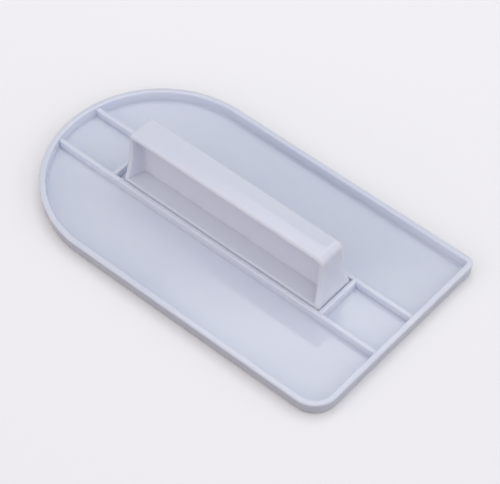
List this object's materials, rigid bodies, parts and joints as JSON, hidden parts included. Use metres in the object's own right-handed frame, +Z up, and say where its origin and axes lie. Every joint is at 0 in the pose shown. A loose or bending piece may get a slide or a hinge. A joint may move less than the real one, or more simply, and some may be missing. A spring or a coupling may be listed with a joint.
{
  "type": "icing smoother",
  "caption": "Flat plastic smoother with a round end and a square end, a raised rim and ribs, and an upright waisted handle, for smoothing icing on cakes.",
  "frame": {"origin": "under the middle of the plate's length and width, on its smooth working face", "axes": "+X runs along the plate from its round end to its square end, +Y points to the side with the small corner, +Z points up towards the top of the handle"},
  "size_m": [0.151, 0.0848, 0.0264],
  "materials": {
    "plate_plastic": "glossy white moulded plastic",
    "handle_plastic": "glossy white moulded plastic"
  },
  "bodies": {
    "root": {"smoothing_plate": "plate_plastic", "handle": "handle_plastic"}
  },
  "joints": []
}
